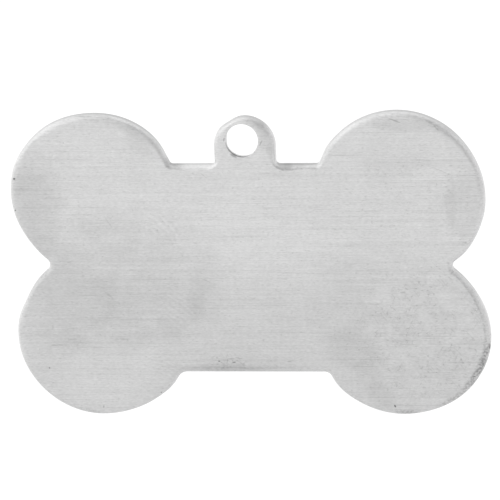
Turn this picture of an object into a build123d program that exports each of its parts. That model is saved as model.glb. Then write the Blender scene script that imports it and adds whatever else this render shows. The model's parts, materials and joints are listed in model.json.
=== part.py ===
from build123d import *
import os

# A bone-shaped pet tag, stamped in one piece from aluminium sheet. It hangs by the hole in its tab:
# +X runs along the bone, +Z points up to the tab, and the front face looks towards -Y.
# The origin is the middle of the hanging hole, halfway through the sheet. Sizes are in millimetres.

# The sheet, and what the press tool does to its edges
SHEET_THICKNESS = 0.8
FRONT_ROLL_RADIUS = 0.35
BACK_EDGE_BREAK = 0.05
INNER_CORNER_RADIUS = 0.3

# The bone: four equal round lobes on the corners of a straight-edged waist
BONE_LENGTH = 38.1
BONE_HEIGHT = 25.4
LOBE_RADIUS = 6.87
WAIST_ABOVE_MIDDLE = 8.38
WAIST_BELOW_MIDDLE = 9.07

# The round-topped tab on the waist's upper edge
TAB_WIDTH = 4.92
TAB_RISE = 3.98

# The hanging hole, punched a little to one side of the tab's middle
HOLE_DIAMETER = 2.7
HOLE_TOP_WALL = 0.63
HOLE_SIDE_OFFSET = 0.15
HOLE_RIM_RADIUS = 0.1

# Heights above the hole's middle
tab_top = HOLE_DIAMETER / 2 + HOLE_TOP_WALL
waist_top = tab_top - TAB_RISE
bone_middle = waist_top - WAIST_ABOVE_MIDDLE
waist_bottom = bone_middle - WAIST_BELOW_MIDDLE
tab_arc_middle = tab_top - TAB_WIDTH / 2

# Distances between the middles of neighbouring lobes
lobe_spacing_x = BONE_LENGTH - 2 * LOBE_RADIUS
lobe_spacing_z = BONE_HEIGHT - 2 * LOBE_RADIUS

back_plane = Plane.XZ.offset(-SHEET_THICKNESS / 2)
front_plane = Plane.XZ.offset(SHEET_THICKNESS / 2)

with BuildPart() as tag_blank:
    # The whole outline is cut in one stroke, so bone and tab are one profile
    with BuildSketch(back_plane):
        with Locations((HOLE_SIDE_OFFSET, bone_middle)):
            with GridLocations(lobe_spacing_x, lobe_spacing_z, 2, 2):
                Circle(LOBE_RADIUS)
        with Locations((HOLE_SIDE_OFFSET, waist_bottom)):
            Rectangle(lobe_spacing_x, waist_top - waist_bottom, align=(Align.CENTER, Align.MIN))
        with Locations((HOLE_SIDE_OFFSET, tab_arc_middle)):
            Circle(TAB_WIDTH / 2)
        with Locations((HOLE_SIDE_OFFSET, bone_middle)):
            Rectangle(TAB_WIDTH, tab_arc_middle - bone_middle, align=(Align.CENTER, Align.MIN))
        # Growing and shrinking the profile alike rounds its inner corners and leaves the rest as it was
        offset(amount=INNER_CORNER_RADIUS, kind=Kind.INTERSECTION)
        offset(amount=-INNER_CORNER_RADIUS, kind=Kind.ARC)
    extrude(amount=SHEET_THICKNESS)

    with Locations(front_plane):
        Hole(HOLE_DIAMETER / 2)

    # The punch rolls the front edges over and leaves the back ones nearly sharp
    front_face = tag_blank.faces().sort_by(Axis.Y)[0]
    fillet(front_face.outer_wire().edges(), radius=FRONT_ROLL_RADIUS)
    front_face = tag_blank.faces().sort_by(Axis.Y)[0]
    fillet(front_face.inner_wires().edges(), radius=HOLE_RIM_RADIUS)
    back_face = tag_blank.faces().sort_by(Axis.Y)[-1]
    chamfer(back_face.edges(), length=BACK_EDGE_BREAK)

tag_blank.part.label = "tag_blank"

os.makedirs("parts", exist_ok=True)
export_step(tag_blank.part, "parts/tag_blank.step")
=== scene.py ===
import json
import math

import bpy
from bpy.props import FloatProperty, FloatVectorProperty, PointerProperty
from mathutils import Matrix, Vector
from mathutils.geometry import delaunay_2d_cdt


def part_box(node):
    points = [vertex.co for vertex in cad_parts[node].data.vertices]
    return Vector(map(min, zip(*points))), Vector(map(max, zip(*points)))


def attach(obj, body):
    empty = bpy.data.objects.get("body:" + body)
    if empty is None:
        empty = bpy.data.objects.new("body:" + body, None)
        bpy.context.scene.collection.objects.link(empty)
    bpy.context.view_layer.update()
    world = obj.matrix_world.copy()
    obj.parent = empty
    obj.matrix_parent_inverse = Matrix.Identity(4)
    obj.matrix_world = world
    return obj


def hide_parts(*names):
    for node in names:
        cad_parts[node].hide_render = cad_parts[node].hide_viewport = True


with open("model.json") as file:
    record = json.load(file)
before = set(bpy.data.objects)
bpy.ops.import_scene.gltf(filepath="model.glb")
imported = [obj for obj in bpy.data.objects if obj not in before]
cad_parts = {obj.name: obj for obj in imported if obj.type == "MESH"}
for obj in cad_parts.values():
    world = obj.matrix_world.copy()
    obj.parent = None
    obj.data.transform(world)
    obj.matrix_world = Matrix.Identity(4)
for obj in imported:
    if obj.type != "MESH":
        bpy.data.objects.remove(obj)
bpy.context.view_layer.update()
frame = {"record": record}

bl_info = {
    "name": "Bone Pet Tag",
    "version": (1, 0, 0),
    "blender": (4, 5, 0),
    "location": "View3D > Sidebar > Pet Tag",
    "description": "A brushed aluminium bone-shaped pet tag and the stage that it is shown on",
    "category": "Add Mesh",
}

NODE = "tag_blank"
SLOT = "brushed_aluminium"
MM = 0.001
WHITE = (1.0, 1.0, 1.0, 1.0)
LOW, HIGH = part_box(NODE)
MIDDLE_X, MIDDLE_Z = (LOW.x + HIGH.x) / 2, (LOW.z + HIGH.z) / 2
HALF_LENGTH, HALF_HEIGHT = (HIGH.x - LOW.x) / 2, (HIGH.z - LOW.z) / 2
HOLE = next(m for m in frame["record"]["mounts"] if m["name"] == "hang_hole")

# Steps of the rolled edge and of its gentle slope, and the least steps of an arc.
ROLL_STEPS = 8
TAIL_STEPS = 5
ARC_STEPS = 6
# Points of a flat face closer than this share of its spacing are one point.
MERGE_SHARE = 1e-4
# Faces that meet at a greater angle than this have a sharp edge between them.
SHARP_ANGLE = math.radians(40)
# A lobe's wear fades out between these distances from the lobe's middle, in radii.
FADE_START, FADE_END = 1.05, 1.2

# Flats and swells that finishing by hand left on each lobe, by its side and end of the bone:
# direction from the lobe's middle in degrees, height in millimetres, spread in degrees.
LOBE_WEAR = {
    (-1, 1): ((22, -0.26, 11), (95, -0.1, 16), (158, 0.09, 8), (214, -0.14, 15)),
    (1, 1): ((28, -0.1, 18), (90, 0.055, 20), (145, 0.05, 5), (155, -0.05, 12), (316, 0.15, 11),
             (345, 0.05, 8)),
    (-1, -1): ((154, -0.12, 10), (168, 0.055, 6), (192, 0.075, 16), (286, -0.13, 17), (322, 0.11, 7),
               (338, 0.25, 6)),
    (1, -1): ((35, -0.07, 13), (219, 0.14, 11), (282, -0.14, 18), (349, 0.09, 14)),
}
TAB_WEAR = ((122, -0.15, 14),)
# Where the rolled edge is broader or narrower than its drawn width, with the same directions and spreads:
# here the middle number is a share of that width.
LOBE_ROLL = {
    (-1, 1): ((25, -0.3, 14), (82, 0.4, 22), (112, 0.3, 10), (138, -0.6, 7)),
    (1, 1): ((25, -0.25, 12), (63, 0.4, 13), (135, -0.2, 16)),
    (-1, -1): ((142, -0.45, 12),),
    (1, -1): ((45, -0.3, 15), (334, 0.35, 12)),
}

# Marks of handling on the front, and painted shade and light among the first list's ovals. Each is an oval:
# its middle x and z, half length and half width in millimetres, the turn of its length from level in degrees,
# and how much it darkens the metal.
# Smudge stains, and painted shade and light: the broad shade towards the bottom, the lighter middle, the
# shade on the tab's upper right and the band under the upper right lobe's edge.
SMUDGES_AND_SHADE = (
    (0.0, -20.5, 30.0, 11.0, 0, 0.07),
    (-15.5, -12.8, 5.0, 5.0, 0, 0.06),
    (-17.0, -5.0, 3.8, 2.2, 90, 0.09),
    (-11.5, -8.0, 4.0, 1.6, 0, 0.03),
    (16.4, -5.4, 2.4, 0.5, 88, 0.04),
    (-7.2, -11.8, 4.6, 4.6, 0, 0.04),
    (1.5, -7.5, 6.0, 4.0, 0, -0.03),
    (10.0, -12.5, 5.0, 3.6, 0, 0.02),
    (8.2, -17.4, 2.3, 1.6, -25, 0.06),
    (10.3, -21.3, 1.4, 1.0, -60, 0.05),
    (0.5, -18.8, 4.5, 0.9, 0, 0.04),
    (-2.4, -19.0, 3.4, 0.4, 0, 0.06),
    (-4.2, -12.9, 1.9, 0.8, 85, 0.045),
    (12.8, 1.25, 2.4, 0.5, 0, 0.08),
    (-8.9, 0.85, 1.2, 0.35, -30, 0.05),
    (-18.2, -15.5, 3.0, 1.5, 90, -0.03),
    (-6.4, -15.4, 1.2, 1.0, 0, 0.035),
    (-9.9, -16.7, 1.6, 0.7, 0, 0.035),
    (-16.6, -8.8, 1.6, 1.0, 0, 0.035),
    (9.4, -19.4, 1.4, 1.0, -40, 0.035),
    (17.2, -0.7, 1.0, 0.8, 0, 0.03),
    (17.0, -12.6, 1.0, 0.8, 0, 0.03),
    (3.5, -5.6, 3.2, 1.6, 0, 0.02),
    (11.6, -13.2, 1.6, 1.2, 0, -0.035),
    (-8.6, -18.2, 1.4, 1.0, 0, -0.03),
    (-13.8, -14.2, 1.5, 1.0, 0, -0.02),
    (-7.6, -9.0, 1.2, 1.2, 0, -0.025),
    (-15.6, -11.6, 1.4, 2.2, 0, 0.02),
    (-0.6, -10.2, 3.0, 1.8, 0, -0.02),
    (11.5, -1.6, 3.0, 1.8, 0, 0.03),
    (-8.1, 0.1, 1.4, 0.9, -40, 0.05),
    (-11.1, -6.5, 3.0, 1.4, 0, 0.025),
    (6.6, -6.6, 2.0, 1.2, 0, 0.025),
    (3.7, -12.4, 2.4, 1.4, 0, -0.02),
    (-5.6, -11.0, 2.4, 0.9, 0, -0.025),
    (-12.0, -20.0, 4.0, 3.0, 0, -0.035),
    (1.15, 1.55, 0.8, 0.5, -15, 0.1),
    (1.75, 0.85, 0.7, 0.5, 90, 0.08),
    (1.8, -0.05, 0.6, 0.4, 90, 0.05),
    (-17.4, -6.3, 1.6, 0.9, 90, 0.02),
    (10.8, 1.65, 2.2, 0.35, 3, 0.025),
    (18.0, -15.2, 1.3, 0.6, 80, -0.02),
    (-13.1, -21.3, 2.2, 0.8, 0, -0.015),
    (2.2, -0.7, 0.5, 0.3, 90, 0.07),
    (1.0, -1.3, 0.6, 0.2, 40, -0.05),
    (0.2, -1.75, 0.6, 0.08, 5, 0.05),
)
SCRATCHES = (
    (12.2, 1.72, 0.5, 0.06, -21, 0.2),
    (14.95, 1.55, 0.3, 0.08, -20, 0.2),
    (15.5, 1.1, 0.35, 0.07, -50, 0.2),
    (15.85, -2.5, 0.9, 0.05, -24, 0.1),
    (1.53, -0.1, 0.25, 0.06, 65, 0.22),
    (-3.2, -2.8, 0.32, 0.05, -40, 0.12),
    (-2.67, -18.42, 0.08, 0.06, 0, 0.3),
    (-1.46, -18.5, 0.16, 0.06, 0, 0.3),
    (-2.0, -18.4, 0.25, 0.06, 75, 0.12),
    (-1.65, -18.2, 0.3, 0.05, 6, 0.14),
    (-1.05, -18.15, 0.3, 0.05, -12, 0.14),
    (-0.8, -18.6, 0.4, 0.05, -30, 0.08),
    (3.1, -18.4, 0.25, 0.04, 15, 0.16),
    (-15.6, -17.05, 0.7, 0.06, 0, 0.12),
    (-14.6, -16.6, 0.5, 0.05, 0, 0.05),
    (-10.4, -16.55, 0.6, 0.07, 0, 0.06),
    (-12.6, 2.07, 0.6, 0.05, 0, 0.14),
    (-11.35, -12.8, 0.4, 0.1, -40, 0.07),
    (-3.4, -11.6, 0.45, 0.05, -25, 0.1),
    (-11.0, -6.8, 0.55, 0.06, -58, 0.07),
)
PITS = (
    (-0.72, -1.16, 0.3, 0.1, -30, 0.3),
    (-18.5, -3.05, 0.1, 0.08, 0, 0.45),
    (-18.55, -5.7, 0.07, 0.07, 0, 0.4),
    (-14.35, -0.05, 0.06, 0.05, 0, 0.25),
    (-1.43, 0.17, 0.16, 0.07, 80, 0.25),
    (-16.5, -19.0, 0.07, 0.07, 0, 0.3),
    (-12.25, -22.3, 0.09, 0.07, 80, 0.25),
    (-7.5, -21.1, 0.07, 0.07, 0, 0.25),
    (11.4, -22.2, 0.12, 0.07, -60, 0.45),
    (19.16, -17.25, 0.25, 0.08, 90, 0.3),
)
# Stains with a sharper border, as the same ovals.
PATCHES = (
    (18.0, -5.5, 3.0, 2.1, 90, 0.045),
    (-17.6, -3.4, 1.8, 0.6, 10, 0.03),
)
# Where the brush marks are scored over, as the same ovals.
WORN = (
    (14.5, -16.0, 6.5, 6.0, 0, 1.0),
    (14.5, -5.0, 5.0, 5.0, 0, 0.4),
    (-1.6, -18.4, 1.5, 0.7, 0, 1.0),
)
# A thumb's oval is followed by the middle and the spacing of its arched ridges.
THUMBS = (
    ((-6.8, -7.2, 1.9, 1.1, -45, 1.0), (-10.5, -10.3), 0.45),
    ((-5.8, -13.9, 2.2, 1.6, -45, 0.8), (-9.5, -18.6), 0.4),
    ((-7.5, -18.9, 1.6, 0.7, -15, 1.1), (-9.2, -23.7), 0.32),
)
# Black grime in the rolled edge, as the same ovals.
GRIME = (
    (18.35, -18.65, 1.9, 0.8, 66, 0.34),
    (16.4, -21.2, 1.8, 0.7, 40, 0.17),
    (12.3, -22.8, 1.0, 0.5, 5, 0.22),
    (-2.2, -19.1, 0.4, 0.3, 0, 0.06),
    (-0.9, -19.1, 0.5, 0.25, 0, 0.03),
    (-13.6, -22.7, 1.2, 0.4, -15, 0.09),
)
# Grime, and painted shade, in the line at the foot of the rolled edge, as the same ovals.
GRIME_AND_SHADE_LINE = (
    (18.3, -14.3, 3.4, 0.6, -74, 0.12),
    (-1.0, -19.2, 6.5, 0.7, 0, 0.07),
    (4.2, -2.3, 2.0, 0.6, 0, 0.15),
)
# Painted soft shade on the rolled edge and its wall, and painted light where the darkening is below nought,
# as the same ovals.
SHADES = (
    (-5.7, -1.95, 0.9, 0.6, 0, 0.16),
    (3.25, -2.1, 0.6, 0.4, 0, 0.19),
    (4.6, -2.3, 2.0, 0.35, 0, 0.06),
    (-3.6, -2.0, 1.6, 0.5, 0, -0.08),
    (4.1, -2.15, 0.8, 0.3, 0, 0.08),
    (6.9, 0.1, 2.2, 0.5, 50, 0.03),
    (-6.1, -1.0, 1.9, 0.55, -62, 0.03),
    (-5.45, -1.85, 0.4, 0.22, 0, 0.12),
    (19.0, -6.5, 2.5, 0.6, 90, -0.05),
    (17.4, -11.2, 1.2, 0.4, -45, -0.05),
    (18.8, -13.6, 1.6, 0.5, -75, -0.04),
    (2.3, -1.9, 0.45, 0.6, 0, -0.12),
    (-12.0, 2.0, 4.0, 1.0, 0, 0.03),
)
# Painted shadow lines along the sheared wall, with a painted light strip behind them, as the same ovals.
WALL_SHADOW_LINES = (
    (-5.4, -1.9, 0.8, 0.5, 0, 0.05),
    (4.2, -1.9, 1.6, 0.5, 0, 0.2),
)
# Light on the crest of the rolled edge, as the same ovals.
CRESTS = (
    (-8.6, 1.3, 2.0, 0.8, -35, 0.1),
)
# Direction from the hole's middle to the darker side of its rim, as x and z.
DARK_RIM_DIRECTION = (-0.5, -0.87)

# Noise on the sheet: length and width of its marks in millimetres, its detail, a shift that sets it apart
# from the other noises, and the turn of its length from level in degrees.
NOISES = {
    "streak": (12.0, 0.12, 2.0, 0.0, 0),
    "dash": (1.6, 0.09, 2.0, 7.3, 0),
    "grain": (0.3, 0.1, 1.0, 3.1, 0),
    "scribe": (6.0, 0.07, 1.0, 71.3, 0),
    "mottle": (0.5, 0.4, 2.0, 21.7, 0),
    "cloud": (1.7, 1.0, 3.0, 11.9, 0),
    "speck": (0.24, 0.16, 0.0, 31.3, 0),
    "falling_stroke": (0.6, 0.11, 1.0, 43.1, -50),
    "rising_stroke": (0.7, 0.11, 1.0, 51.9, 65),
    "cluster": (1.3, 1.1, 2.0, 81.1, 0),
    "crust": (0.2, 0.2, 1.0, 61.7, 0),
}
NOISE_ROUGHNESS = 0.55
# Marks per millimetre that shearing left on the wall, along x, y and z.
SHEAR_MARKS = (14.0, 0.6, 14.0)
# Where each mark fades in, from nothing at the first number to full at the second.
FADES = {
    # Level of a noise.
    "dash": (0.6, 0.72),
    "scribe": (0.62, 0.74),
    "speck": (0.68, 0.8),
    "stroke": (0.6, 0.72),
    "cluster": (0.4, 0.56),
    "ridges": (0.36, 0.5),
    "crust": (0.42, 0.6),
    # Steepness of the rolled edge, from 0 on the face to 1 on the wall.
    "edge": (0.02, 0.3),
    "line_start": (0.06, 0.14),
    "line_end": (0.2, 0.3),
    "lip": (0.7, 0.95),
    "crest_start": (0.55, 0.75),
    "crest_end": (0.93, 0.99),
    "left_edge": (0.2, 1.0),
    "right_edge": (0.5, 1.0),
    "right_glint": (0.96, 1.0),
    # Depth in the sheet, in millimetres back from its middle.
    "front": (0.2, -0.2),
    "shadow_line_front": (-0.2, -0.1),
    "shadow_line_back": (0.2, 0.1),
    "light_strip": (0.1, 0.2),
    "torn_back": (0.0, 0.15),
    "hole_rim": (0.0, -0.38),
    # Sideways slant of the edge, from -1 on its left-hand sides to 1 on its right-hand ones.
    "left_side": (-0.7, -1.0),
    "right_side": (0.6, 0.9),
    "lit_wall": (0.3, -0.5),
    # Distance from the hole's middle towards the darker side of its rim, in millimetres.
    "dark_rim_side": (0.6, 1.2),
}
# Where an oval's mark starts to fade and where it ends, as squares of distances in half lengths.
SOFT_BORDER = (0.1, 1.7)
PATCH_BORDER = (0.75, 1.15)
# How far noise breaks up the borders of marks. A patch's is broken up by cloud and by grain.
SCRATCH_RAGGED = 1.5
SMUDGE_AND_SHADE_RAGGED = 0.8
EDGE_GRIME_AND_SHADE_RAGGED = 2.0
TORN_RAGGED = 0.3
PATCH_RAGGED = (1.2, 0.8)
# How far cloud and mottle bend a thumb's ridges, in millimetres.
RIDGE_BEND = (0.6, 0.3)
# Grime between its crusts, how much of it is worn off the lip, and the painted light strip behind the shadow
# lines on the wall.
THIN_GRIME = 0.45
LIP_WEAR = 0.45
STRIP_LIGHT = 0.6

# Soft boxes of the stage: name, place and width in metres, and the brightness of the face, where 1 is white.
SOFT_BOXES = (
    ("key_softbox", (-0.42, -0.42, 0.3), 0.7, 0.45),
    ("top_softbox", (-0.1, 0.05, 0.6), 0.8, 0.25),
    ("side_softbox", (-0.35, 0.1, 0.12), 0.5, 0.35),
)


def length(name, description, millimetres):
    """A size of the tag or its stage, in metres."""
    return FloatProperty(name=name, description=description, default=millimetres * MM,
                         subtype="DISTANCE", unit="LENGTH", precision=5)


def share(name, description, default):
    """A plain number from 0 to 1."""
    return FloatProperty(name=name, description=description, default=default,
                         min=0.0, max=1.0, subtype="FACTOR")


def angle(name, description, degrees):
    """An angle, in radians."""
    return FloatProperty(name=name, description=description, default=math.radians(degrees),
                         subtype="ANGLE", unit="ROTATION")


def grey(name, description, level):
    """A neutral colour."""
    return FloatVectorProperty(name=name, description=description, default=(level, level, level),
                               size=3, min=0.0, max=1.0, subtype="COLOR")


class TagSizes(bpy.types.PropertyGroup):
    """Sizes of the stamped blank. Its length, height, thickness and hole come from the frame."""

    lobe_radius: length("Lobe Radius", "Radius of the bone's four round lobes", 6.87)
    waist_above: length("Waist Above", "From the bone's middle up to the waist's top edge", 8.38)
    waist_below: length("Waist Below", "From the bone's middle down to the waist's bottom edge", 9.02)
    tab_width: length("Tab Width", "Width of the hanging tab, round at its top", 4.92)
    tab_top: length("Tab Top", "From the hole's middle up to the tab's top", 1.98)
    inner_corner: length("Inner Corner", "Radius of the inner corners at the waist and the tab", 0.3)
    foot_corner: length("Foot Corner", "Radius of the inner corners at the waist's bottom", 0.7)
    waist_fade: length("Waist Fade", "Distance over which the waist's straight edge gives way to a lobe", 0.9)
    notch_corner: length("Notch Corner", "Radius of the inner corner between two lobes", 0.55)
    front_roll: length("Front Roll", "Radius of the front edge, rolled over by the punch", 0.38)
    roll_tail: length("Roll Tail", "Width of the gentle slope between the roll and the flat face", 0.34)
    tab_tail: length("Tab Tail", "How much wider that slope may be on the tab", 0.4)
    tail_slope: angle("Tail Slope", "Steepest angle of that gentle slope", 20.0)
    root_pinch: share("Root Pinch", "How much narrower the roll is in the corners beside the tab", 0.55)
    waist_pinch: share("Waist Pinch", "How much narrower the roll is on the waist, right of the tab", 0.4)
    back_break: length("Back Break", "Width of the bevel that breaks the back edges", 0.05)
    hole_rim: length("Hole Rim", "Radius of the hole's softened front rim", 0.04)
    hole_flare: length("Hole Flare", "How far the hole's lower side broke out at the back", 0.11)
    flare_fade: share("Flare Fade", "How far below the hole's middle the flare is full, in radii", 0.6)
    hole_squeeze: share("Hole Squeeze", "Width of the worn hole as a share of its height", 0.96)
    hole_rise: length("Hole Rise", "How much higher than its drawn place the hole was punched", 0.09)
    edge_step: length("Edge Step", "Spacing of the points round the lobes", 0.12)
    face_step: length("Face Step", "Spacing of the points on the flat faces", 0.6)


class TagFinish(bpy.types.PropertyGroup):
    """Colours and surface of the brushed sheet."""

    metal: grey("Metal", "Colour of the brushed face", 0.612)
    cut_metal: grey("Cut Metal", "Colour of the sheared edge", 0.569)
    roughness: share("Roughness", "Roughness of the brushed face", 0.38)
    dash_roughness: share("Dash Roughness", "How far the short brush marks change it", 0.2)
    bump_strength: share("Bump Strength", "Strength of the brush marks' relief", 0.2)
    bump_height: length("Bump Height", "Height of the brush marks' relief", 0.02)
    streaks: share("Streaks", "How far long brush marks lighten and darken the metal", 0.2)
    grain: share("Grain", "How far fine grain lightens and darkens it", 0.3)
    clouds: share("Clouds", "How far broad uneven tones lighten and darken it", 0.1)
    mottle: share("Mottle", "How far small uneven tones lighten and darken it", 0.07)
    ridges: share("Ridges", "How far a thumb's ridges lighten and darken it", 0.042)
    dashes: share("Dashes", "How far short deep brush marks darken it", 0.08)
    scribes: share("Scribes", "How far long thin lines darken it", 0.1)
    specks: share("Specks", "How far specks darken it", 0.1)
    strokes: share("Strokes", "How far cross strokes darken worn places", 0.11)
    worn_mottle: share("Worn Mottle", "How far small uneven tones change worn places", 0.2)
    worn_shade: share("Worn Shade", "How much darker clusters of strokes are", 0.035)
    worn_light: share("Worn Light", "How much lighter worn places are between the clusters", 0.015)
    # The hole's front rim is darker on its lower-left side; this sets how much.
    rim_darkening: share("Rim Darkening", "How far grime darkens the hole's rim", 0.9)
    left_shine: share("Left Shine", "How much lighter the edge's left-hand sides are", 0.2)
    right_shine: share("Right Shine", "How much lighter the edge's right-hand sides are", 0.1)
    wall_light: share("Wall Light", "How much lighter the wall's left-hand sides are", 0.12)
    wall_marks: share("Wall Marks", "How far shearing marks lighten and darken the wall", 0.3)
    torn_shade: share("Torn Shade", "How much darker the torn back of the wall is", 0.08)


class TagStage(bpy.types.PropertyGroup):
    """The camera, and the lights and cards round the tag."""

    azimuth: angle("Azimuth", "Camera's angle to the right of the face's middle", 8.46)
    elevation: angle("Elevation", "Camera's angle above the face's middle", 17.89)
    roll: angle("Roll", "Camera's turn about its own line of sight", -2.69)
    distance: length("Distance", "From the camera to the point that it looks at", 500.0)
    aim_x: length("Aim X", "Sideways place of the point that the camera looks at", 0.195)
    aim_z: length("Aim Z", "Height of the point that the camera looks at", -9.16)
    lens: FloatProperty(name="Lens", description="Focal length of the camera", default=451.4, unit="CAMERA")
    floor_drop: length("Floor Drop", "From the tag's lowest point down to the floor", 17.0)
    floor_size: length("Floor Size", "Width of the square floor", 3000.0)
    floor_colour: grey("Floor Colour", "Colour of the floor under and near the tag", 0.94)
    floor_near: length("Floor Near", "How far from the tag the floor keeps that colour", 350.0)
    floor_far: length("Floor Far", "How far from the tag the floor is white, like the tent round it", 750.0)
    flag_colour: grey("Flag Colour", "Colour of the card that shades the tag's right-hand edges", 0.6)
    flag_x: length("Flag X", "From the tag's middle sideways to that card", 113.5)
    flag_y: length("Flag Y", "From the tag's middle back to that card", -223.0)
    flag_width: length("Flag Width", "Width of that card", 160.0)
    flag_height: length("Flag Height", "Height of that card, which stands on the floor", 300.0)


class Number:
    """A shader value: Python's operators on it add Math nodes."""

    def __init__(self, sheet, socket):
        self.sheet = sheet
        self.socket = socket

    def maths(self, operation, *values):
        """The result of a Math node on the values."""
        node = self.sheet.add("ShaderNodeMath", {"operation": operation}, dict(enumerate(values)))
        return Number(self.sheet, node.outputs[0])

    def __add__(self, other):
        return self.maths("ADD", self, other)

    __radd__ = __add__

    def __sub__(self, other):
        return self.maths("SUBTRACT", self, other)

    def __rsub__(self, other):
        return self.maths("SUBTRACT", other, self)

    def __mul__(self, other):
        return self.maths("MULTIPLY", self, other)

    __rmul__ = __mul__


class NodeSheet:
    """Adds nodes to the tree of one material or world."""

    def __init__(self, tree):
        self.tree = tree
        tree.nodes.clear()

    def add(self, kind, settings=None, sockets=None):
        """A node of that kind. Its settings come first, and then the values or links of its sockets."""
        node = self.tree.nodes.new(kind)
        for name, value in (settings or {}).items():
            setattr(node, name, value)
        for key, value in (sockets or {}).items():
            if isinstance(value, Number):
                value = value.socket
            if isinstance(value, bpy.types.NodeSocket):
                self.tree.links.new(value, node.inputs[key])
            else:
                node.inputs[key].default_value = value
        return node

    def number(self, kind, settings=None, sockets=None, output=0):
        """The same, as a value to calculate with."""
        return Number(self, self.add(kind, settings, sockets).outputs[output])

    def vector(self, operation, *values, **named):
        """A Vector Math node's result: a value to calculate with, or a vector's socket."""
        sockets = {**dict(enumerate(values)), **named}
        outputs = self.add("ShaderNodeVectorMath", {"operation": operation}, sockets).outputs
        if operation in ("DISTANCE", "DOT_PRODUCT"):
            return Number(self, outputs["Value"])
        return outputs["Vector"]

    def stretch(self, value, low, high):
        """0 below low, 1 above high, and a smooth rise between them."""
        return self.number("ShaderNodeMapRange", {"interpolation_type": "SMOOTHSTEP"},
                           {"Value": value, "From Min": low, "From Max": high})

    def blend(self, factor, first, second):
        """A colour from first to second as factor goes from 0 to 1."""
        node = self.add("ShaderNodeMix", {"data_type": "RGBA"}, {0: factor, 6: first, 7: second})
        return node.outputs[2]


def opaque(colour):
    """A colour property as four numbers."""
    return (*colour, 1.0)


def add_object(scene, name, data):
    """A new object of that name in the scene."""
    item = bpy.data.objects.new(name, data)
    scene.collection.objects.link(item)
    return item


def arc(centre, radius, start, end, step):
    """Points on an arc about centre, from the angle start to the angle end, without its last point."""
    count = max(ARC_STEPS, math.ceil(abs(end - start) * radius / step))
    turns = [start + (end - start) * i / count for i in range(count)]
    return [centre + radius * Vector((math.cos(t), math.sin(t))) for t in turns]


def line(start, end, step):
    """Points on a straight line, without its last point."""
    count = max(1, math.ceil((end - start).length / step))
    return [start.lerp(end, i / count) for i in range(count)]


def smooth(value, low, high):
    """0 below low, 1 above high, and a smooth rise between them."""
    t = max(0.0, min(1.0, (value - low) / (high - low)))
    return t * t * (3 - 2 * t)


def bell(distance, spread):
    """1 at no distance, and a smooth fall to nothing over a few spreads."""
    return math.exp(-0.5 * (distance / spread) ** 2)


def bearing(start, end):
    """The angle of the direction from one point to another."""
    return math.atan2(end.y - start.y, end.x - start.x)


def half_outline(sizes):
    """The outline's right half about the bone's middle, from the waist's bottom up to the tab's top."""
    radius, corner, foot, step = sizes.lobe_radius, sizes.inner_corner, sizes.foot_corner, sizes.edge_step
    lobe = Vector((HALF_LENGTH - radius, HALF_HEIGHT - radius))
    lower_lobe = Vector((lobe.x, -lobe.y))
    above, below, half_tab = sizes.waist_above, sizes.waist_below, sizes.tab_width / 2
    crown = Vector((0.0, sizes.tab_top - MIDDLE_Z - half_tab))

    def waist_corner(level, bend):
        """The middle of a bend of that radius, between the waist at that level and the upper lobe."""
        height = level + bend
        return Vector((lobe.x - math.sqrt((radius + bend) ** 2 - (height - lobe.y) ** 2), height))

    low_corner = waist_corner(below, foot) * Vector((1.0, -1.0))
    high_corner = waist_corner(above, corner)
    notch = Vector((lobe.x + math.sqrt((radius + sizes.notch_corner) ** 2 - lobe.y ** 2), 0.0))
    root = Vector((half_tab + corner, above + corner))
    quarter, half = math.pi / 2, math.pi
    return [
        *line(Vector((0.0, -below)), Vector((low_corner.x, -below)), step),
        *arc(low_corner, foot, quarter, bearing(low_corner, lower_lobe), step),
        *arc(lower_lobe, radius, bearing(lower_lobe, low_corner), bearing(lower_lobe, notch), step),
        *arc(notch, sizes.notch_corner, bearing(notch, lower_lobe) + 2 * half, bearing(notch, lobe), step),
        *arc(lobe, radius, bearing(lobe, notch), bearing(lobe, high_corner), step),
        *arc(high_corner, corner, bearing(high_corner, lobe), -quarter, step),
        *line(Vector((high_corner.x, above)), Vector((root.x, above)), step),
        *arc(root, corner, -quarter, -half, step),
        *line(Vector((half_tab, root.y)), Vector((half_tab, crown.y)), step),
        *arc(crown, half_tab, 0.0, quarter, step),
    ]


def lobe_at(point, sizes):
    """The side and end, and the middle, of the lobe at a point, all counted from the bone's middle."""
    side, end = math.copysign(1, point.x), math.copysign(1, point.y)
    radius = sizes.lobe_radius
    return (side, end), Vector((side * (HALF_LENGTH - radius), end * (HALF_HEIGHT - radius)))


def swelling(arm, radius, swells):
    """The sum of a round end's swells at an arm from its middle, fading out beyond its rim."""
    near = max(0.0, min(1.0, (FADE_END - arm.length / radius) / (FADE_END - FADE_START)))
    direction = math.degrees(math.atan2(arm.y, arm.x))
    total = 0.0
    for towards, height, spread in swells:
        total += height * bell((direction - towards + 180) % 360 - 180, spread)
    return total * near


def finished_by_hand(point, sizes):
    """A point of the outline, moved by the small flats and swells of its lobe or of the tab's round top."""
    radius = sizes.lobe_radius
    (side, end), centre = lobe_at(point, sizes)
    wear = LOBE_WEAR[side, end]
    if abs(point.x) < sizes.tab_width and end > 0:
        radius = sizes.tab_width / 2
        centre = Vector((0.0, sizes.tab_top - MIDDLE_Z - radius))
        wear = TAB_WEAR
    arm = point - centre
    shift = arm.normalized() * (swelling(arm, radius, wear) * MM)
    if abs(point.x) < HALF_LENGTH - sizes.lobe_radius:
        waist = sizes.waist_above if end > 0 else sizes.waist_below
        shift.y *= smooth(abs(point.y) - waist, 0.0, sizes.waist_fade)
    return point + shift


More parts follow.
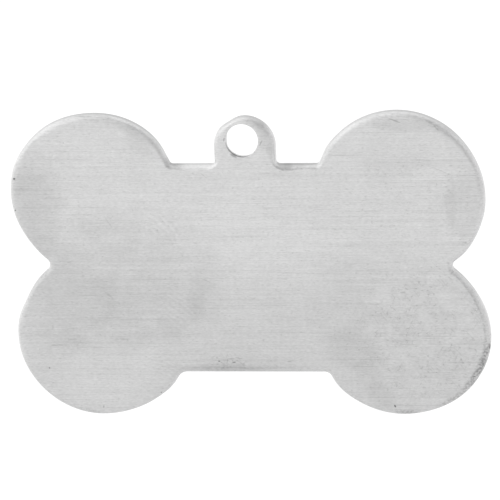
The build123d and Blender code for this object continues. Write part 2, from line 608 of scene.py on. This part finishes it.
def outline(sizes):
    """Points right round the tag, anticlockwise as seen from the front, as (x, z) in the frame."""
    middle = Vector((MIDDLE_X, MIDDLE_Z))
    right = half_outline(sizes)
    top = Vector((0.0, sizes.tab_top - middle.y))
    left = [Vector((-p.x, p.y)) for p in reversed(right[1:])]
    return [middle + finished_by_hand(p, sizes) for p in [*right, top, *left]]


def outward(points):
    """For each point of a closed anticlockwise outline, the direction out of the metal."""
    count = len(points)
    along = [points[(i + 1) % count] - points[i - 1] for i in range(count)]
    return [Vector((a.y, -a.x)).normalized() for a in along]


def roll_width(sizes, roll, tail):
    """Width of a rolled edge from its wall to the flat face."""
    return roll * (1 - math.sin(sizes.tail_slope)) + tail + sizes.back_break


def edge_profile(sizes, roll, tail, flared=0.0):
    """The edge's section from the back face to the front one, as (inset, widening, y, rolled, cut) rings.

    flared is 1 where the edge widens at the back, as a punched hole does, and 0 where its tail widens.
    """
    back, front = HIGH.y, LOW.y
    bevel, slope = sizes.back_break, sizes.tail_slope
    gentle = tail / math.sin(slope)
    depth = roll * math.cos(slope) + gentle * (1 - math.cos(slope))
    rings = [(2 * bevel, flared, back, 0.0, 0.0), (bevel, flared, back, 0.0, 0.0)]
    rings += [(0.0, flared, back - bevel, 1.0, 1.0), (0.0, 0.0, front + depth, 1.0, 1.0)]
    for i in range(1, ROLL_STEPS + 1):
        tilt = math.pi / 2 + (slope - math.pi / 2) * i / ROLL_STEPS
        inset, y = roll * (1 - math.sin(tilt)), front + depth - roll * math.cos(tilt)
        rings.append((inset, 0.0, y, math.sin(tilt), 0.0))
    width = roll_width(sizes, roll, tail)
    for i in range(1, TAIL_STEPS + 1):
        tilt = slope * (1 - i / TAIL_STEPS)
        inset, y = width - bevel - gentle * math.sin(tilt), front + gentle * (1 - math.cos(tilt))
        widening = (1 - flared) * (1 - math.sin(tilt) / math.sin(slope))
        rings.append((inset, widening, y, math.sin(tilt), 0.0))
    rings.append((width, 1 - flared, front, 0.0, 0.0))
    return rings


class TagMesh:
    """Gathers the tag's points and faces, and the marks that its finish follows."""

    MARKS = ("rolled", "cut", "rim", "flank")

    def __init__(self):
        self.points = []
        self.faces = []
        self.marks = {name: [] for name in self.MARKS}

    def ring(self, points, y, **marks):
        """Adds (x, z) points at the depth y, and returns their numbers. Each mark is one value or a list."""
        first = len(self.points)
        self.points += [(p.x, y, p.y) for p in points]
        for name, values in self.marks.items():
            value = marks.get(name, 0.0)
            values += value if isinstance(value, list) else [value] * len(points)
        return list(range(first, len(self.points)))

    def join(self, first, second):
        """Faces between two rings of as many points."""
        count = len(first)
        for i in range(count):
            j = (i + 1) % count
            self.faces.append((first[i], first[j], second[j], second[i]))

    def sweep(self, points, profile, breadth, widening, rim):
        """Rings along an edge's section, joined into one skin. Returns the first and the last."""
        rings = []
        normals = outward(points)
        for inset, widened, y, rolled, cut in profile:
            shift = [inset * b + widened * w for b, w in zip(breadth, widening)]
            moved = [p - s * n for p, s, n in zip(points, shift, normals)]
            flank = [n.x * (1 - rim) for n in normals]
            rings.append(self.ring(moved, y, rolled=rolled * (1 - rim), cut=cut * (1 - rim),
                                   rim=rolled * rim, flank=flank))
            if len(rings) > 1:
                self.join(rings[-2], rings[-1])
        return rings[0], rings[-1]

    def cover(self, rim, hole, step, facing):
        """Fills the flat face between its rim and the hole. facing is 1 at the front and -1 at the back."""
        y = self.points[rim[0]][1]
        border = [*rim, *hole]
        flat = [Vector((self.points[i][0], self.points[i][2])) for i in border]
        count = len(rim)
        edges = [(i, (i + 1) % count) for i in range(count)]
        edges += [(count + i, count + (i + 1) % len(hole)) for i in range(len(hole))]
        columns = math.ceil(2 * HALF_LENGTH / step)
        rows = math.ceil(2 * HALF_HEIGHT / step)
        hole_middle = sum(flat[count:], Vector((0.0, 0.0))) / len(hole)
        hole_reach = max((p - hole_middle).length for p in flat[count:])
        grid = [Vector((LOW.x + (i + 0.5 * (j % 2)) * step, LOW.z + j * step))
                for j in range(rows + 1) for i in range(columns + 1)]
        flat += [p for p in grid if (p - hole_middle).length > hole_reach]
        found, _, triangles, origins, _, _ = delaunay_2d_cdt(flat, edges, [], 1, step * MERGE_SHARE)
        numbers = {}
        hole_corners = set(hole)
        for triangle in triangles:
            corners = []
            for i in triangle:
                if i not in numbers:
                    source = next((o for o in origins[i] if o < len(border)), None)
                    numbers[i] = self.ring([found[i]], y)[0] if source is None else border[source]
                corners.append(numbers[i])
            if not hole_corners.issuperset(corners):
                self.faces.append(tuple(corners[::facing]))

    def make(self, name):
        """The finished mesh, smooth but for its sharp edges."""
        mesh = bpy.data.meshes.new(name)
        mesh.from_pydata(self.points, [], self.faces)
        for label, values in self.marks.items():
            mesh.attributes.new(label, "FLOAT", "POINT").data.foreach_set("value", values)
        mesh.polygons.foreach_set("use_smooth", [True] * len(mesh.polygons))
        mesh.set_sharp_from_angle(angle=SHARP_ANGLE)
        mesh.validate()
        return mesh


def roll_room(point, sizes, hole):
    """The width that the metal between a point of the outline and the hole leaves for the rolled edge."""
    land = roll_width(sizes, sizes.hole_rim, sizes.hole_rim) + sizes.back_break
    return min((point - p).length for p in hole) - land


def roll_breadth(point, sizes, room):
    """How broad the rolled edge is at a point of the outline, as a share of its drawn width."""
    place = point - Vector((MIDDLE_X, MIDDLE_Z))
    lobe, centre = lobe_at(place, sizes)
    breadth = 1.0 + swelling(place - centre, sizes.lobe_radius, LOBE_ROLL[lobe])
    waist = Vector((place.x - sizes.tab_width, place.y - sizes.waist_above))
    breadth -= sizes.waist_pinch * bell(waist.length, sizes.waist_fade)
    root = Vector((abs(place.x) - sizes.tab_width / 2, place.y - sizes.waist_above))
    breadth -= sizes.root_pinch * bell(root.length, sizes.inner_corner)
    return min(breadth, room / roll_width(sizes, sizes.front_roll, sizes.roll_tail))


def tab_widening(point, sizes, room):
    """How much wider the roll's tail is at a point of the tab, within the room that the hole leaves."""
    waist_top = MIDDLE_Z + sizes.waist_above
    spare = max(0.0, room - roll_width(sizes, sizes.front_roll, sizes.roll_tail))
    on_tab = smooth(point.y, waist_top + sizes.inner_corner, waist_top + sizes.tab_width / 2)
    return min(sizes.tab_tail, spare) * on_tab if abs(point.x) < sizes.tab_width else 0.0


def tag_mesh(sizes):
    """The stamped blank: its edge, its punched hole and its two flat faces."""
    build = TagMesh()
    points = outline(sizes)
    radius = HOLE["dims"]["r_mm"] * MM
    circle = arc(Vector((0.0, 0.0)), radius, 2 * math.pi, 0.0, sizes.edge_step / 2)
    hole = [Vector((p.x * sizes.hole_squeeze, p.y + sizes.hole_rise)) for p in circle]
    rooms = [roll_room(p, sizes, hole) for p in points]
    widening = [tab_widening(p, sizes, room) for p, room in zip(points, rooms)]
    breadth = [roll_breadth(p, sizes, room) for p, room in zip(points, rooms)]
    edge = edge_profile(sizes, sizes.front_roll, sizes.roll_tail)
    back_rim, front_rim = build.sweep(points, edge, breadth, widening, 0)
    edge = edge_profile(sizes, sizes.hole_rim, sizes.hole_rim, 1.0)
    flare = [sizes.hole_flare * smooth(-p.y, 0.0, sizes.flare_fade * radius) for p in circle]
    back_hole, front_hole = build.sweep(hole, edge, [1.0] * len(hole), flare, 1)
    build.cover(front_rim, front_hole, sizes.face_step, 1)
    build.cover(back_rim, back_hole, sizes.face_step, -1)
    return build.make("bone_tag")


class MetalSheet(NodeSheet):
    """Adds the nodes of the brushed sheet, with places on the tag in millimetres."""

    def __init__(self, tree):
        super().__init__(tree)
        self.place = self.vector("SCALE", self.add("ShaderNodeTexCoord").outputs["Object"], Scale=1 / MM)
        split = self.add("ShaderNodeSeparateXYZ", {}, {0: self.place})
        self.x, self.y, self.z = (Number(self, split.outputs[i]) for i in range(3))
        self.rolled, self.cut, self.rim, self.flank = (
            self.number("ShaderNodeAttribute", {"attribute_name": name}, output="Fac")
            for name in TagMesh.MARKS)
        self.front = self.fade("front", self.y)
        self.noise = {name: self.marks(*row) for name, row in NOISES.items()}

    def marks(self, along, across, detail, shift, turn):
        """Noise drawn out along a direction at that turn from level."""
        turned = self.place
        if turn:
            turned = self.add("ShaderNodeVectorRotate", {"rotation_type": "Y_AXIS"},
                              {"Vector": turned, "Angle": math.radians(turn)}).outputs[0]
        stretched = self.vector("MULTIPLY", turned, (1 / along, 1 / across, 1 / across))
        moved = self.vector("ADD", stretched, (shift, shift, shift))
        return self.number("ShaderNodeTexNoise", {},
                           {"Vector": moved, "Scale": 1.0, "Detail": detail, "Roughness": NOISE_ROUGHNESS})

    def uneven(self, name):
        """The noise of that name, as much above nought as below."""
        return self.noise[name] - 0.5

    def fade(self, name, value):
        """How far the mark of that name has faded in at a value."""
        return self.stretch(value, *FADES[name])

    def stain(self, ovals, ragged=0.0, border=SOFT_BORDER):
        """Darkening by ovals that fade out over their border, which the ragged noise breaks up."""
        inner, outer = border
        total = 0.0
        for middle_x, middle_z, half_length, half_width, turn, darkening in ovals:
            level, steep = math.cos(math.radians(turn)), math.sin(math.radians(turn))
            offset = self.vector("SUBTRACT", self.place, (middle_x, 0.0, middle_z))
            along = self.vector("DOT_PRODUCT", offset, (level / half_length, 0.0, steep / half_length))
            across = self.vector("DOT_PRODUCT", offset, (-steep / half_width, 0.0, level / half_width))
            far = along * along + across * across + ragged
            total = total + self.stretch(far, outer, inner) * darkening
        return total


def thumb_ridges(sheet):
    """The arched ridges of thumb prints, as much above nought as below."""
    cloud, mottle = sheet.noise["cloud"], sheet.noise["mottle"]
    ridges = 0.0
    for oval, (middle_x, middle_z), spacing in THUMBS:
        reach = sheet.vector("DISTANCE", sheet.place, (middle_x, LOW.y / MM, middle_z))
        bent = reach + cloud * RIDGE_BEND[0] + mottle * RIDGE_BEND[1]
        turns = bent * (2 * math.pi / spacing)
        ridges = ridges + turns.maths("SINE", turns) * sheet.stain([oval], sheet.uneven("cloud"))
    return ridges * sheet.fade("ridges", cloud) * sheet.front


def brush_marks(sheet, finish):
    """How much lighter or darker the brushing, its wear and thumb prints leave the metal."""
    noise = sheet.noise
    worn = sheet.stain(WORN, sheet.uneven("cloud")) * sheet.front
    ridges = thumb_ridges(sheet) * finish.ridges
    dashes = (sheet.fade("dash", noise["dash"]) * (finish.dashes + finish.dashes * worn)
              + sheet.fade("scribe", noise["scribe"]) * finish.scribes)
    specks = sheet.fade("speck", noise["speck"])
    strokes = sheet.fade("stroke", noise["falling_stroke"]) + sheet.fade("stroke", noise["rising_stroke"])
    clusters = sheet.fade("cluster", noise["cluster"])
    scored = (sheet.uneven("mottle") * finish.worn_mottle
              + (strokes * finish.strokes + specks * finish.specks + finish.worn_shade) * clusters
              - finish.worn_light)
    return (sheet.uneven("streak") * finish.streaks + sheet.uneven("grain") * finish.grain
            + sheet.uneven("cloud") * finish.clouds + sheet.uneven("mottle") * finish.mottle
            - dashes - specks * finish.specks - scored * worn + ridges)


def handling_marks_and_shade(sheet, pits):
    """How much smudge stains with painted shade and light, patches, scratches and those pits darken the
    front.
    """
    cloud, grain = sheet.uneven("cloud"), sheet.uneven("grain")
    scuffs = sheet.stain(SCRATCHES, grain * SCRATCH_RAGGED) * sheet.front + pits
    patches = sheet.stain(PATCHES, cloud * PATCH_RAGGED[0] + grain * PATCH_RAGGED[1], PATCH_BORDER)
    return (sheet.stain(SMUDGES_AND_SHADE, cloud * SMUDGE_AND_SHADE_RAGGED) + patches) * sheet.front + scuffs


def wall_shadow_lines(sheet):
    """How much painted shadow lines along the sheared wall darken it, and the painted light strip behind them
    lightens it.
    """
    dark_line = sheet.fade("shadow_line_front", sheet.y) * sheet.fade("shadow_line_back", sheet.y)
    light_strip = sheet.fade("light_strip", sheet.y) * STRIP_LIGHT
    return sheet.stain(WALL_SHADOW_LINES) * (dark_line - light_strip)


def edge_grime_and_shade(sheet, shade):
    """How much grime, painted shade and the shade passed in darken the rolled edge, less the painted light on
    its crest.
    """
    rolled = sheet.rolled
    edge = sheet.fade("edge", rolled)
    inner_line = sheet.fade("line_start", rolled) * (1 - sheet.fade("line_end", rolled))
    lip = 1 - sheet.fade("lip", rolled) * LIP_WEAR
    crest = sheet.fade("crest_start", rolled) * (1 - sheet.fade("crest_end", rolled))
    crust = THIN_GRIME + sheet.fade("crust", sheet.noise["crust"])
    ragged = sheet.uneven("grain") * EDGE_GRIME_AND_SHADE_RAGGED
    return ((sheet.stain(GRIME, ragged) * crust * lip + shade) * edge
            + sheet.stain(GRIME_AND_SHADE_LINE, ragged) * inner_line * crust - sheet.stain(CRESTS) * crest)


def dark_rim_side(sheet):
    """How much darker the hole's front rim is on that side."""
    below = sheet.fade("dark_rim_side", sheet.x * DARK_RIM_DIRECTION[0] + sheet.z * DARK_RIM_DIRECTION[1])
    return sheet.rim * sheet.fade("hole_rim", sheet.y) * below


def edge_shine(sheet, finish):
    """How bright the painted highlights make the edge's left-hand and right-hand sides, where 1 is as bright
    as the face.
    """
    rolled, flank = sheet.rolled, sheet.flank
    left = sheet.fade("left_edge", rolled) * sheet.fade("left_side", flank) * finish.left_shine
    right = ((sheet.fade("right_edge", rolled) + sheet.fade("right_glint", rolled))
             * finish.right_shine * sheet.fade("right_side", flank))
    return 1 + left + right


def sheared_wall(sheet, finish):
    """How bright the wall is with its shearing marks, its torn back and its lit left-hand sides."""
    shear = sheet.number("ShaderNodeTexNoise", {}, {
        "Vector": sheet.vector("MULTIPLY", sheet.place, SHEAR_MARKS), "Scale": 1.0, "Detail": 2.0})
    torn = sheet.fade("torn_back", sheet.y + (shear - 0.5) * TORN_RAGGED)
    sheared = (1 + (shear - 0.5) * finish.wall_marks) * (1 - torn * finish.torn_shade)
    return sheared * (1 + sheet.fade("lit_wall", sheet.flank) * finish.wall_light)


def brushed_metal(finish):
    """Aluminium brushed along the bone, stained by handling and duller where the sheet was sheared, with
    painted shade and highlights on its edges and face.
    """
    material = bpy.data.materials.new(SLOT)
    material.use_nodes = True
    sheet = MetalSheet(material.node_tree)
    brushed = brush_marks(sheet, finish)
    pits = sheet.stain(PITS) * sheet.front
    # These marks also carry the painted shade and light of the first list.
    marks_and_shade = handling_marks_and_shade(sheet, pits)
    shade = sheet.stain(SHADES)
    wall_shadows = wall_shadow_lines(sheet)
    # Grime of the edge with its painted shade, less the painted light on its crest.
    grime = edge_grime_and_shade(sheet, shade + wall_shadows)
    rim_darkening = dark_rim_side(sheet) * finish.rim_darkening
    shine = edge_shine(sheet, finish)
    tone = (1 + brushed) * (1 - marks_and_shade) * (1 - grime) * (1 - rim_darkening) * shine
    face_colour = sheet.vector("SCALE", tuple(finish.metal), Scale=tone)
    wall_tone = shine * sheared_wall(sheet, finish) * (1 - shade) * (1 - wall_shadows) * (1 - pits)
    wall_colour = sheet.vector("SCALE", tuple(finish.cut_metal), Scale=wall_tone)
    colour = sheet.blend(sheet.cut, face_colour, wall_colour)
    relief = sheet.noise["streak"] + sheet.noise["dash"]
    bump = sheet.add("ShaderNodeBump", {}, {
        "Strength": finish.bump_strength, "Distance": finish.bump_height, "Height": relief})
    roughness = finish.roughness + sheet.uneven("dash") * finish.dash_roughness + marks_and_shade
    shader = sheet.add("ShaderNodeBsdfPrincipled", {}, {
        "Base Color": colour, "Metallic": 1.0, "Roughness": roughness, "Normal": bump.outputs[0]})
    sheet.add("ShaderNodeOutputMaterial", {}, {"Surface": shader.outputs[0]})
    return material


class PETTAG_OT_make_blank(bpy.types.Operator):
    """Builds the stamped aluminium blank in the frame, in place of its plain solid"""

    bl_idname = "pet_tag.make_blank"
    bl_label = "Make Tag Blank"
    bl_options = {"REGISTER", "UNDO"}

    def execute(self, context):
        scene = context.scene
        blank = add_object(scene, "bone_tag", tag_mesh(scene.pet_tag_sizes))
        blank.data.materials.append(brushed_metal(scene.pet_tag_finish))
        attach(blank, "root")
        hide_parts(NODE)
        return {"FINISHED"}


def matt_paint(name, colour, fade=None):
    """A matt material for the stage. It turns white between a fade's two distances from the card's middle."""
    material = bpy.data.materials.new(name)
    material.use_nodes = True
    sheet = NodeSheet(material.node_tree)
    paint = opaque(colour)
    if fade:
        place = sheet.add("ShaderNodeTexCoord").outputs["Object"]
        far = sheet.stretch(sheet.vector("DISTANCE", place, (0.0, 0.0, 0.0)), *fade)
        paint = sheet.blend(far, paint, WHITE)
    shader = sheet.add("ShaderNodeBsdfPrincipled", {}, {
        "Base Color": paint, "Roughness": 1.0, "Specular IOR Level": 0.0})
    sheet.add("ShaderNodeOutputMaterial", {}, {"Surface": shader.outputs[0]})
    return material


def flat_card(scene, name, centre, target, width, height, material):
    """A flat stage card of that size at centre, facing target."""
    corners = [(-width / 2, -height / 2, 0), (width / 2, -height / 2, 0),
               (width / 2, height / 2, 0), (-width / 2, height / 2, 0)]
    mesh = bpy.data.meshes.new(name)
    mesh.from_pydata(corners, [], [(0, 1, 2, 3)])
    mesh.materials.append(material)
    card = add_object(scene, name, mesh)
    card.location = centre
    card.rotation_euler = (target - centre).to_track_quat("Z", "Y").to_euler()
    return card


def soft_box(scene, name, centre, target, size, brightness):
    """A square area light whose face shows that brightness, where 1 is white."""
    lamp = bpy.data.lights.new(name, "AREA")
    lamp.shape = "SQUARE"
    lamp.size = size
    lamp.energy = brightness * math.pi * size ** 2
    light = add_object(scene, name, lamp)
    light.visible_camera = False
    light.location = centre
    light.rotation_euler = (target - centre).to_track_quat("-Z", "Y").to_euler()


class PETTAG_OT_set_stage(bpy.types.Operator):
    """Sets the floor, the soft studio light and the camera at the photograph's angle"""

    bl_idname = "pet_tag.set_stage"
    bl_label = "Set Stage"
    bl_options = {"REGISTER", "UNDO"}

    def execute(self, context):
        scene = context.scene
        stage = scene.pet_tag_stage
        middle = (LOW + HIGH) / 2
        floor_paint = matt_paint("floor_paint", stage.floor_colour, (stage.floor_near, stage.floor_far))
        floor_centre = Vector((middle.x, middle.y, LOW.z - stage.floor_drop))
        above = floor_centre + Vector((0.0, 0.0, 1.0))
        flat_card(scene, "floor", floor_centre, above, stage.floor_size, stage.floor_size, floor_paint)
        for name, place, size, brightness in SOFT_BOXES:
            soft_box(scene, name, Vector(place), middle, size, brightness)
        self.set_flag(scene, stage, floor_centre)
        self.light_world(scene)
        self.place_camera(scene, stage)
        scene.view_settings.view_transform = "Standard"
        return {"FINISHED"}

    @staticmethod
    def set_flag(scene, stage, floor_centre):
        """The grey card at the front right, which is seen only in the tag's shine."""
        paint = matt_paint("flag_paint", stage.flag_colour)
        centre = floor_centre + Vector((stage.flag_x, stage.flag_y, stage.flag_height / 2))
        aim = Vector((floor_centre.x, floor_centre.y, centre.z))
        flag = flat_card(scene, "flag_card", centre, aim, stage.flag_width, stage.flag_height, paint)
        flag.visible_camera = False
        flag.visible_diffuse = False
        flag.visible_shadow = False

    @staticmethod
    def light_world(scene):
        """White all round, at the strength at which a colour renders as it is written."""
        world = bpy.data.worlds.new("white_tent")
        world.use_nodes = True
        sheet = NodeSheet(world.node_tree)
        white = sheet.add("ShaderNodeBackground", {}, {"Color": WHITE, "Strength": 1.0})
        sheet.add("ShaderNodeOutputWorld", {}, {"Surface": white.outputs[0]})
        scene.world = world

    @staticmethod
    def place_camera(scene, stage):
        """The camera, turned round the tag and rolled as the photograph's was."""
        flat = math.cos(stage.elevation)
        back = Vector((math.sin(stage.azimuth) * flat, -math.cos(stage.azimuth) * flat,
                       math.sin(stage.elevation)))
        level = Vector((0.0, 0.0, 1.0)).cross(back).normalized()
        right = Matrix.Rotation(stage.roll, 3, back) @ level
        up = back.cross(right)
        data = bpy.data.cameras.new("photo_camera")
        data.lens = stage.lens
        camera = add_object(scene, "photo_camera", data)
        axes = Matrix((right, up, back)).transposed().to_4x4()
        aim = Vector((stage.aim_x, 0.0, stage.aim_z))
        camera.matrix_world = Matrix.Translation(aim + back * stage.distance) @ axes
        data.clip_start = stage.distance / 100
        data.clip_end = stage.distance * 20
        scene.camera = camera


class PETTAG_PT_sidebar(bpy.types.Panel):
    """Lists the tag's operators and sizes"""

    bl_idname = "PETTAG_PT_sidebar"
    bl_label = "Pet Tag"
    bl_space_type = "VIEW_3D"
    bl_region_type = "UI"
    bl_category = "Pet Tag"

    def draw(self, context):
        layout = self.layout
        layout.operator(PETTAG_OT_make_blank.bl_idname)
        layout.operator(PETTAG_OT_set_stage.bl_idname)
        for name in GROUPS:
            box = layout.box()
            group = getattr(context.scene, name)
            for key in group.__annotations__:
                box.prop(group, key)


GROUPS = {"pet_tag_sizes": TagSizes, "pet_tag_finish": TagFinish, "pet_tag_stage": TagStage}
CLASSES = (TagSizes, TagFinish, TagStage, PETTAG_OT_make_blank, PETTAG_OT_set_stage, PETTAG_PT_sidebar)


def register():
    for item in CLASSES:
        bpy.utils.register_class(item)
    for name, group in GROUPS.items():
        setattr(bpy.types.Scene, name, PointerProperty(type=group))


def unregister():
    for name in GROUPS:
        delattr(bpy.types.Scene, name)
    for item in reversed(CLASSES):
        bpy.utils.unregister_class(item)


def main():
    register()
    bpy.ops.pet_tag.make_blank()
    bpy.ops.pet_tag.set_stage()


if __name__ == "__main__":
    main()
